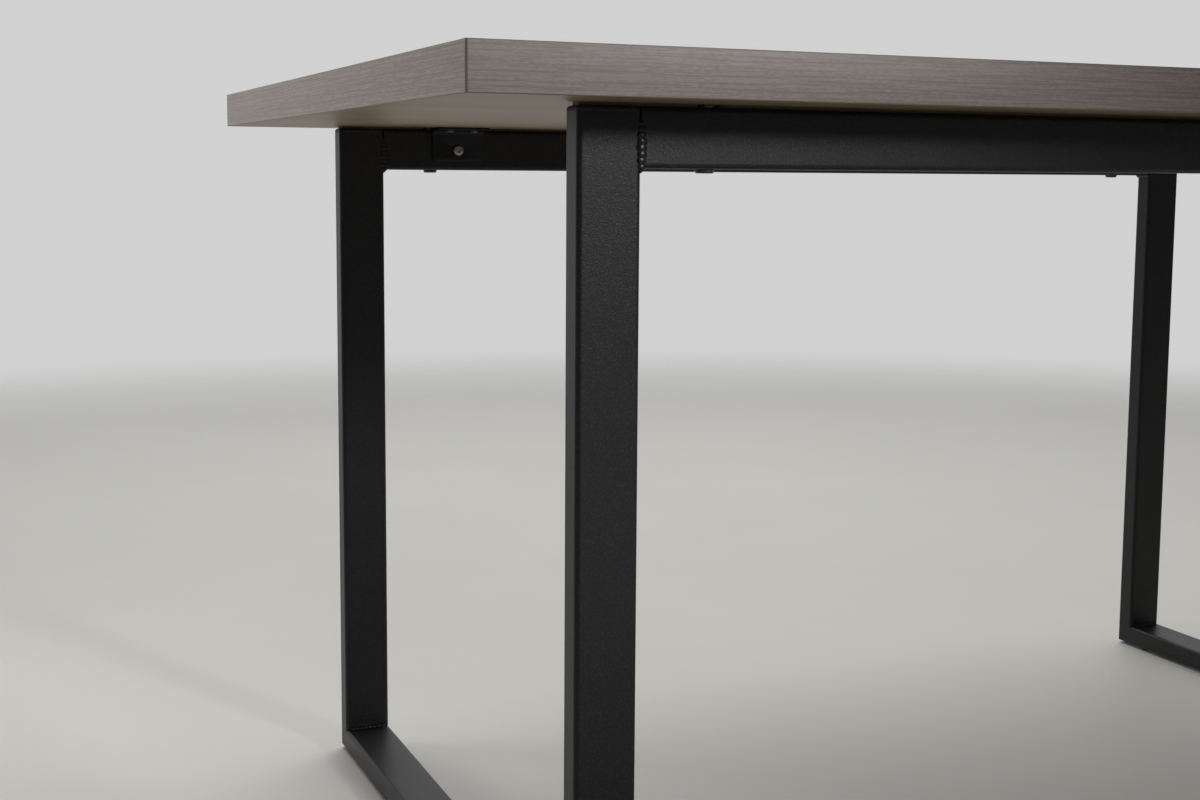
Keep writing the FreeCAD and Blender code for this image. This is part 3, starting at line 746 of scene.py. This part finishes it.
def puddle(radius, reach, crown=1.0):
    """A flattened ball of weld metal at the origin that travels up Z and faces +Y."""
    clear_selection()
    bpy.ops.mesh.primitive_uv_sphere_add(segments=24, ring_count=14, radius=radius)
    ball = settled("puddle")
    edit(ball)
    bpy.ops.transform.resize(value=(1, 1, reach / radius), center_override=(0, 0, 0))
    bpy.ops.transform.rotate(value=PUDDLE_LEAN, orient_axis="X", center_override=(0, 0, 0))
    bpy.ops.transform.resize(value=(1, crown, 1), center_override=(0, 0, 0))
    pick("VERT", lambda corner: corner.co.y < 0)
    bpy.ops.transform.resize(value=(1, 0.6, 1), center_override=(0, 0, 0))
    done()
    return ball


def laid(ball, place, across, out, along, size):
    """A copy of a puddle, with its own axes turned to the seam's."""
    axes = Matrix((across, out, along)).transposed().to_4x4()
    return placed(ball, "drop", place, axes @ Matrix.Scale(size, 4))


def melted(drops, name):
    """Joins puddles into one skin."""
    bead = joined(drops, name)
    shape_with(bead, "REMESH", mode="VOXEL", voxel_size=VOXEL)
    shape_with(bead, "SMOOTH", factor=0.5, iterations=4)
    edit(bead)
    bpy.ops.mesh.normals_make_consistent(inside=False)
    done()
    return bead


print("a puddle is remeshed at", VOXEL * 1000, "mm")

# %% [markdown]
# ## Rail welds
# The bead runs up the seam on both faces of the rail and across below it. Its ripples differ a little in
# size and place, because a hand led the torch.

# %% Rail welds
X, Y, Z = Vector((1, 0, 0)), Vector((0, 1, 0)), Vector((0, 0, 1))
post_low, post_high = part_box("post_back_right")
rail_low, rail_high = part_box("rail_back")
RIPPLE_START, RIPPLE_PITCH = 0.0014, 0.0045
RIPPLES = ((0.0, 0.84), (0.0002, 0.96), (-0.0002, 1.0), (0.0002, 1.04), (-0.0003, 1.02), (0.0001, 0.98),
           (-0.0002, 0.86), (0.0002, 0.7))
SEAM = post_low.x + 0.0002
SINK = 0.0018
UNDER_STEPS, UNDER_START, UNDER_PITCH, UNDER_LIFT = 6, 0.0034, 0.00364, 0.0008
big_puddle = puddle(0.0048, 0.0045, 0.72)
flat_puddle = puddle(0.0044, 0.0042, 0.5)
drops = []
for face, out in ((rail_high.y, Y), (rail_low.y, -Y)):
    for step, (drift, size) in enumerate(RIPPLES):
        place = Vector((SEAM + drift, face, rail_low.z + RIPPLE_START + step * RIPPLE_PITCH)) - SINK * out
        drops.append(laid(big_puddle, place, X if out.y < 0 else -X, out, Z, size))
under = (-X - Z).normalized()
for step in range(UNDER_STEPS):
    under_y = rail_low.y + UNDER_START + step * UNDER_PITCH
    place = Vector((post_low.x, under_y, rail_low.z)) + UNDER_LIFT * under
    drops.append(laid(flat_puddle, place, under.cross(Y), under, Y, 1.0 - 0.04 * (step % 2)))
bpy.data.objects.remove(big_puddle)
bpy.data.objects.remove(flat_puddle)
rail_bead = melted(drops, "rail_bead")
for corner, bead in in_corners(rail_bead, "rail_bead").items():
    count = stand_in(bead, WELD_COAT_AND_SHADE, f"rail_weld_{corner}", angle=60)
    print("rail bead", corner, "has", count, "triangles")

# %% [markdown]
# ## Foot welds
# A smaller bead lies in the inner corner of each post and floor bar, and faces up and inwards.

# %% Foot welds
FOOT_RUN, FOOT_STEPS, FOOT_SINK = 0.0355, 8, 0.0006
bar_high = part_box("floor_bar_right")[1]
small_puddle = puddle(0.0034, 0.0036)
inwards = (Z - Y).normalized()
across = inwards.cross(X)
drops = []
for step in range(FOOT_STEPS):
    x = (post_low.x + post_high.x) / 2 + FOOT_RUN * (step / (FOOT_STEPS - 1) - 0.5)
    place = Vector((x, post_low.y, bar_high.z)) - FOOT_SINK * inwards
    drops.append(laid(small_puddle, place, across, inwards, X, 0.95 + 0.05 * (step % 2)))
bpy.data.objects.remove(small_puddle)
foot_bead = melted(drops, "foot_bead")
for corner, bead in in_corners(foot_bead, "foot_bead").items():
    count = stand_in(bead, POWDER_COAT, f"foot_weld_{corner}", angle=60)
    print("foot bead", corner, "has", count, "triangles")

# %% [markdown]
# ## Bolts and spacers
# A low button-headed bolt comes up through the rail next to each post, and a zinc spacer ring keeps
# the top off the rail. The bolt starts as a disc: its lower rim is bevelled into a dome, its upper face
# is inset and pulled up into the shank, and a hexagon is carved out for the key.

# %% Bolts
BOLT_X, BOLT_Y = 0.487, 0.345
HEAD_RADIUS, HEAD_HEIGHT, HEAD_DOME = 0.0075, 0.003, 0.0021
SHANK_RADIUS = 0.003
KEY_RADIUS, KEY_DEPTH, OVERCUT = 0.00231, 0.002, 0.001
SOFT_RIM = 0.0003
head_low, head_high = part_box("top_bolts")


def button_bolt(name):
    bolt = rod(name, (BOLT_X, BOLT_Y, head_low.z), HEAD_RADIUS, HEAD_HEIGHT, 40)
    seat = Vector((BOLT_X, BOLT_Y, rail_low.z))
    on_seat = at_height(seat.z)
    edit(bolt)
    pick("EDGE", at_height(head_low.z))
    bpy.ops.mesh.bevel(offset=HEAD_DOME, segments=6, affect="EDGES")
    pick("FACE", lambda face: face.normal.z > 0.99)
    bpy.ops.mesh.inset(thickness=HEAD_RADIUS - SHANK_RADIUS)
    pull((0, 0, head_high.z - seat.z))
    pick("EDGE", lambda edge: on_seat(edge) and (middle_of(edge) - seat).length > 0.8 * HEAD_RADIUS)
    bpy.ops.mesh.bevel(offset=SOFT_RIM, segments=2, affect="EDGES")
    done()
    key = rod("key", (BOLT_X, BOLT_Y, head_low.z - OVERCUT), KEY_RADIUS, OVERCUT + KEY_DEPTH, 6)
    carve(bolt, key)
    return bolt


bolts = joined(list(four_of(button_bolt("bolt"), "bolt", (BOLT_X, BOLT_Y)).values()), "button_bolts")
print("bolts have", stand_in(bolts, BLACK_ZINC, "top_bolts"), "triangles")

# %% Spacers
RING_RADIUS, RING_WIDTH = 0.008, 0.0047
ring_low, ring_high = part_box("spacer_washers")


def spacer(name):
    ring = rod(name, (BOLT_X, BOLT_Y, ring_low.z), RING_RADIUS, ring_high.z - ring_low.z, 48)
    edit(ring)
    pick("FACE", lambda face: abs(face.normal.z) > 0.99)
    bpy.ops.mesh.inset(thickness=RING_WIDTH)
    bpy.ops.mesh.delete(type="FACE")
    pick("EDGE", lambda edge: edge.is_boundary)
    bpy.ops.mesh.bridge_edge_loops()
    pick("EDGE", lambda edge: len(edge.link_faces) == 2 and edge.calc_face_angle() > 1)
    bpy.ops.mesh.bevel(offset=SOFT_RIM, segments=2, affect="EDGES")
    pick("FACE", lambda face: True)
    bpy.ops.mesh.normals_make_consistent(inside=False)
    done()
    return ring


rings = joined(list(four_of(spacer("spacer"), "spacer", (BOLT_X, BOLT_Y)).values()), "spacer_rings")
print("spacers have", stand_in(rings, SHADED_ZINC, "spacer_washers"), "triangles")

# %% [markdown]
# ## Shade felt strips
# The narrow gap between frame and top shows one dim brown line from end to end, broken only by the
# spacers. A thin grey-brown strip on the rails and post caps paints that line. It is painted shade, a
# sheet standing in for the shaded underside that shows through the gap. Each length is a thin bar
# whose ends are rounded with a bevel and whose sides bulge a little where the top presses on it: the
# side faces are split once and their middle line is pushed out.

# %% Shade felt strips
SHADE_FELT_HALF, SHADE_FELT_BULGE, SHADE_FELT_CORNER = 0.0065, 0.0006, 0.003
SHADE_FELT_LENGTHS = ((-0.4785, 0.4785), (0.4955, 0.5915), (-0.5915, -0.4955))


def shade_felt_strip(name, start, end):
    middle_z = (ring_low.z + ring_high.z) / 2
    strip = block(name, (start, BOLT_Y - SHADE_FELT_HALF, ring_low.z), (end, BOLT_Y + SHADE_FELT_HALF, ring_high.z))
    edit(strip)
    pick("EDGE", upright)
    bpy.ops.mesh.bevel(offset=SHADE_FELT_CORNER, segments=4, affect="EDGES")
    bpy.ops.mesh.select_all(action="SELECT")
    bpy.ops.mesh.bisect(plane_co=(0, 0, middle_z), plane_no=(0, 0, 1))
    pick("VERT", lambda corner: abs(corner.co.z - middle_z) < NEAR)
    bpy.ops.transform.resize(value=(1, 1 + SHADE_FELT_BULGE / SHADE_FELT_HALF, 1), center_override=(0, BOLT_Y, middle_z))
    done()
    return strip


# Painted shade: the strips fill the gap between frame and top so that it reads as dim shaded underside.
strips = [shade_felt_strip("felt", start, end) for start, end in SHADE_FELT_LENGTHS]
strips += [mirrored(strip, "felt", 1, -1) for strip in strips]
strips = joined(strips, "shade_felt_strips")
strips.data.materials.append(SHADE_FELT)
activate(strips)
bpy.ops.object.shade_smooth_by_angle(angle=math.radians(30))
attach(strips, "table")
print("felt strips:", len(strips.data.polygons), "faces")

# %% [markdown]
# ## Brackets and their screws
# The bracket is pressed from 3 mm sheet, so it is modelled as a sheet too: one face, one edge pulled
# out for the flange, a bevel for the bend, rounded corners, then thickness, holes and a soft edge.

# %% Bracket sheet
SHEET, BEND_ROUND, CORNER_ROUND, SOFT_EDGE = 0.003, 0.009, 0.005, 0.0004
SCREW_Z = 0.69
FLANGE_SCREW_Y, FLANGE_SHIFTS = 0.3145, (-0.014, 0.014)
FLANGE_HOLE, RAIL_HOLE, DRILL_LENGTH = 0.0023, 0.0033, 0.02
plate_low, plate_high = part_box("bracket_back_right")
centre_x = (plate_low.x + plate_high.x) / 2


def pressed_bracket(name):
    clear_selection()
    middle = Vector((centre_x, plate_high.y, (plate_low.z + plate_high.z) / 2))
    size = plate_high - plate_low
    bpy.ops.mesh.primitive_plane_add(size=1, location=middle, rotation=(math.pi / 2, 0, 0))
    sheet = settled(name)
    edit(sheet)
    bpy.ops.transform.resize(value=(size.x, 1, size.z), center_override=middle)
    pick("EDGE", at_height(plate_high.z))
    pull((0, -size.y, 0))

    def bend(edge):
        at_back = all(abs(corner.co.y - plate_high.y) < NEAR for corner in edge.verts)
        return at_back and at_height(plate_high.z)(edge)

    def free_corner(corner):
        return abs(corner.co.z - plate_low.z) < NEAR or abs(corner.co.y - plate_low.y) < NEAR

    pick("EDGE", bend)
    bpy.ops.mesh.bevel(offset=BEND_ROUND, segments=9, affect="EDGES")
    pick("VERT", free_corner)
    bpy.ops.mesh.bevel(offset=CORNER_ROUND, segments=6, affect="VERTICES")
    pick("FACE", lambda face: True)
    bpy.ops.mesh.normals_make_consistent(inside=False)
    done()
    return sheet


bracket = pressed_bracket("bracket")
print("the bent sheet has", len(bracket.data.polygons), "faces")

# %% Brackets
outward = sum(face.normal.y + face.normal.z for face in bracket.data.polygons)
shape_with(bracket, "SOLIDIFY", thickness=SHEET, offset=-1 if outward > 0 else 1, use_even_offset=True)
for shift in FLANGE_SHIFTS:
    start = (centre_x + shift, FLANGE_SCREW_Y, plate_high.z - DRILL_LENGTH / 2)
    carve(bracket, rod("drill", start, FLANGE_HOLE, DRILL_LENGTH, 24))
start = (centre_x, plate_high.y - DRILL_LENGTH / 2, SCREW_Z)
carve(bracket, rod("drill", start, RAIL_HOLE, DRILL_LENGTH, 24, along="y"))
shape_with(bracket, "BEVEL", width=SOFT_EDGE, segments=2, limit_method="ANGLE", angle_limit=math.radians(40))
for corner, plate in in_corners(bracket, "pressed_bracket").items():
    count = stand_in(plate, DIPPED_BLACK, f"bracket_{corner}", angle=35)
    print("bracket", corner, "has", count, "triangles")

# %% [markdown]
# ## Screws
# The screws have pan heads: a disc with a domed rim, a shank pulled out behind, and a cross carved in.
# Each is turned a little differently, as a driver leaves them.

# %% Pan-headed screws
DOME_SHARE, TIP_SHARE, RECESS_TAPER = 0.62, 0.3, 0.62


def pan_screw(name, head, thick, shank, reach):
    """A screw at the origin: its head hangs below Z = 0 and its shank stands above it."""
    screw = rod(name, (0, 0, -thick), head, thick, 36)
    edit(screw)
    pick("EDGE", at_height(-thick))
    bpy.ops.mesh.bevel(offset=DOME_SHARE * thick, segments=6, affect="EDGES")
    pick("FACE", lambda face: face.normal.z > 0.99)
    bpy.ops.mesh.inset(thickness=head - shank)
    pull((0, 0, reach))
    bpy.ops.mesh.bevel(offset=TIP_SHARE * shank, segments=1, affect="EDGES")
    done()
    arm, half, depth = 0.64 * head, 0.2 * head, 0.55 * thick
    for wide, deep in ((arm, half), (half, arm)):
        bar = block("recess", (-wide, -deep, -thick - depth), (wide, deep, -thick + depth))
        edit(bar)
        pick("FACE", lambda face: face.normal.z > 0.99)
        narrower = (RECESS_TAPER, RECESS_TAPER, 1)
        bpy.ops.transform.resize(value=narrower, center_override=(0, 0, -thick + depth))
        done()
        carve(screw, bar)
    return screw


machine_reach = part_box("bracket_screws")[1].y - (plate_high.y - SHEET)
machine_screw = pan_screw("machine_screw", head=0.006, thick=0.004, shank=0.003, reach=machine_reach)
screws = []
for side_x, side_y in CORNERS.values():
    turn = Matrix.Rotation(-side_y * math.pi / 2, 4, "X") @ Matrix.Rotation(0.5 + 0.4 * side_x, 4, "Z")
    place = (side_x * centre_x, side_y * (plate_high.y - SHEET), SCREW_Z)
    screws.append(placed(machine_screw, "screw", place, turn))
bpy.data.objects.remove(machine_screw)
screws = joined(screws, "pan_screws")
print("pan screws have", stand_in(screws, BRIGHT_ZINC, "bracket_screws"), "triangles")

# %% Flange screws
flange_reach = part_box("wood_screws")[1].z - (plate_high.z - SHEET)
flange_screw = pan_screw("flange_screw", head=0.0045, thick=0.0026, shank=0.002, reach=flange_reach)
screws = []
for side_x, side_y in CORNERS.values():
    for shift in FLANGE_SHIFTS:
        turn = Matrix.Rotation(0.8 * side_y + 30 * shift, 4, "Z")
        place = (side_x * (centre_x + shift), side_y * FLANGE_SCREW_Y, plate_high.z - SHEET)
        screws.append(placed(flange_screw, "screw", place, turn))
bpy.data.objects.remove(flange_screw)
screws = joined(screws, "flange_screws")
print("flange screws have", stand_in(screws, SHADED_ZINC, "wood_screws"), "triangles")

# %% [markdown]
# ## Levelling feet
# Each foot is a moulded pad on a threaded stud. The feet move on their own, so each rides on its own
# body. The pad has a rounded rim, and rings are sunk and raised below it so that it grips the floor.

# %% Pads
PAD_ROUND, PAD_SOFT_EDGE = 0.001, 0.0004
PAD_RINGS = ((0.003, 0.0006), (0.0025, -0.0006), (0.003, 0.0006))
pad_low, pad_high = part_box("levelling_pad_back_right")
FOOT_X, FOOT_Y = (pad_low.x + pad_high.x) / 2, (pad_low.y + pad_high.y) / 2


def moulded_pad(name):
    pad = rod(name, (FOOT_X, FOOT_Y, 0), (pad_high.x - pad_low.x) / 2, pad_high.z, 64)
    edit(pad)
    pick("EDGE", at_height(0))
    bpy.ops.mesh.bevel(offset=PAD_ROUND, segments=3, affect="EDGES")
    pick("EDGE", at_height(pad_high.z))
    bpy.ops.mesh.bevel(offset=PAD_SOFT_EDGE, segments=2, affect="EDGES")
    for width, rise in PAD_RINGS:
        pick("FACE", lambda face: face.normal.z < -0.99 and len(face.verts) > 8)
        bpy.ops.mesh.inset(thickness=width)
        pull((0, 0, rise))
    done()
    return pad


for corner, pad in four_of(moulded_pad("pad"), "moulded_pad", (FOOT_X, FOOT_Y)).items():
    count = stand_in(pad, MOULDED_PLASTIC, f"levelling_pad_{corner}", f"foot_{corner}", 30)
    print("pad", corner, "has", count, "triangles")

# %% [markdown]
# ## Threaded studs
# The thread is a saw-tooth profile wound up by a Screw modifier, and both of its ends are cut flat with
# a bisect.

# %% Studs
stud_low, stud_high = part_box("levelling_stud_back_right")


def threaded_stud(name):
    pitch, core, crest = 0.00125, 0.0033, 0.0039
    turns = int((stud_high.z - stud_low.z) / pitch) + 4
    clear_selection()
    bpy.ops.mesh.primitive_plane_add(size=0.001)
    stud = settled(name)
    edit(stud)
    bpy.ops.mesh.merge(type="CENTER")
    bpy.ops.transform.translate(value=(core, 0, stud_low.z - 2 * pitch))
    for out in (crest - core, core - crest):
        bpy.ops.mesh.extrude_vertices_move(TRANSFORM_OT_translate={"value": (out, 0, pitch / 2)})
    done()
    shape_with(stud, "SCREW", axis="Z", angle=2 * math.pi, screw_offset=pitch, iterations=turns,
               steps=24, render_steps=24)
    edit(stud)
    bpy.ops.mesh.remove_doubles(threshold=1e-5)
    for level, cut in ((stud_low.z, "clear_inner"), (stud_high.z, "clear_outer")):
        bpy.ops.mesh.select_all(action="SELECT")
        bpy.ops.mesh.bisect(plane_co=(0, 0, level), plane_no=(0, 0, 1), use_fill=True, **{cut: True})
    bpy.ops.mesh.select_all(action="SELECT")
    bpy.ops.mesh.normals_make_consistent(inside=False)
    bpy.ops.transform.translate(value=(FOOT_X, FOOT_Y, 0))
    done()
    return stud


for corner, stud in four_of(threaded_stud("stud"), "threaded_stud", (FOOT_X, FOOT_Y)).items():
    count = stand_in(stud, BRIGHT_ZINC, f"levelling_stud_{corner}", f"foot_{corner}", 30)
    print("stud", corner, "has", count, "triangles")

# %% [markdown]
# ## Floor
# The floor is pale and plain, and it fades out a few metres off so that no edge shows.

# %% Floor
FLOOR_RADIUS, FADE_START, FADE_END = 7, 2.7, 4.6


def pale_floor(name):
    material, recipe = new_finish(name)
    place = place_on_table(recipe)
    distance = recipe.node("ShaderNodeVectorMath", {"operation": "LENGTH"}, {0: place}, output="Value")
    mottle = marks(recipe, place, (0.5, 0.5, 0.5), 4, 0.6)
    colour = blended(recipe, mottle, painted(196, 195, 190), painted(205, 204, 199))
    matt = recipe.node("ShaderNodeBsdfPrincipled", sockets={"Base Color": colour, "Roughness": 0.6})
    clear = recipe.node("ShaderNodeBsdfTransparent")
    fade = eased(recipe, distance, FADE_START, FADE_END)
    surface = recipe.node("ShaderNodeMixShader", sockets={0: fade, 1: matt, 2: clear})
    recipe.node("ShaderNodeOutputMaterial", sockets={"Surface": surface})
    return material


clear_selection()
bpy.ops.mesh.primitive_circle_add(vertices=96, radius=FLOOR_RADIUS, fill_type="NGON")
floor = bpy.context.object
floor.name = "floor"
floor.data.materials.append(pale_floor("pale_floor"))
floor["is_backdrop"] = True
print("the floor is", 2 * FLOOR_RADIUS, "m wide and fades from", FADE_START, "m")

# %% [markdown]
# ## Room
# The room is a pale surround that is brightest behind the table and dim in front of it.

# %% Room
TO_THE_BACK = (0.35, 0.937, 0.0)
WALL_STOPS = ((0.0, grey(0.13)), (0.64, grey(0.15)), (0.8, grey(0.64)), (1.0, grey(0.64)))
room = bpy.data.worlds.new("room")
bpy.context.scene.world = room
room.use_nodes = True
air = Recipe(room.node_tree)
direction = air.node("ShaderNodeTexCoord", output="Generated")
backwards = air.node("ShaderNodeVectorMath", {"operation": "DOT_PRODUCT"},
                     {0: direction, 1: TO_THE_BACK}, output="Value")
walls = air.node("ShaderNodeValToRGB", {"stops": WALL_STOPS}, {0: backwards * 0.5 + 0.5})
glow = air.node("ShaderNodeBackground", sockets={"Color": walls, "Strength": 1.0})
air.node("ShaderNodeOutputWorld", sockets={"Surface": glow})
print("room nodes:", len(room.node_tree.nodes))

# %% [markdown]
# ## Lamps
# One soft lamp stands in front to the right at about head height and puts the slow sheen on the near
# post and the rail. A polished floor would also mirror that lamp, so a faint second one lies low and
# lights the rail's lower edge. A third lamp fills in the left end of the top, and a wide one overhead
# lights the top and the floor.

# %% Lamps
def soft_lamp(name, place, target, size, watts, spread=180, mirrored_in_gloss=True, tint=(1, 1, 1)):
    aim = (Vector(target) - Vector(place)).to_track_quat("-Z", "Y").to_euler()
    clear_selection()
    bpy.ops.object.light_add(type="AREA", location=place, rotation=aim)
    lamp = bpy.context.object
    lamp.name = name
    lamp.data.shape = "RECTANGLE"
    lamp.data.size, lamp.data.size_y = size
    lamp.data.energy = watts
    lamp.data.color = tint
    lamp.data.spread = math.radians(spread)
    lamp.visible_camera = False
    lamp.visible_glossy = mirrored_in_gloss


COOL = (0.985, 0.975, 1.0)
soft_lamp("front_lamp", place=(0.75, -3.06, 1.75), target=(-0.6, -0.42, 0.61), size=(0.6, 0.75),
          watts=1.0, spread=17, tint=COOL)
soft_lamp("floor_glint", place=(0.2, -1.05, 0.02), target=(-0.1, -0.36, 0.5), size=(1.6, 0.3),
          watts=0.55, spread=120, tint=COOL)
soft_lamp("left_lamp", place=(-3.2, 1.6, 1.1), target=(-0.7, 0.1, 0.8), size=(1.2, 0.8),
          watts=5.1, spread=50, mirrored_in_gloss=False)
soft_lamp("overhead_lamp", place=(0.2, 1.8, 3.2), target=(0.1, 1.0, 0.0), size=(4.0, 3.0), watts=92)

# %% [markdown]
# ## Last checks
# The finished pieces must stay inside the box of the solids, so the script prints how far the two
# boxes differ.

# %% Sizes and finish
seen_low, seen_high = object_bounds()
apart = max((seen_high - cad_high).length, (seen_low - cad_low).length)
print("boxes differ by at most", round(apart, 5), "m")
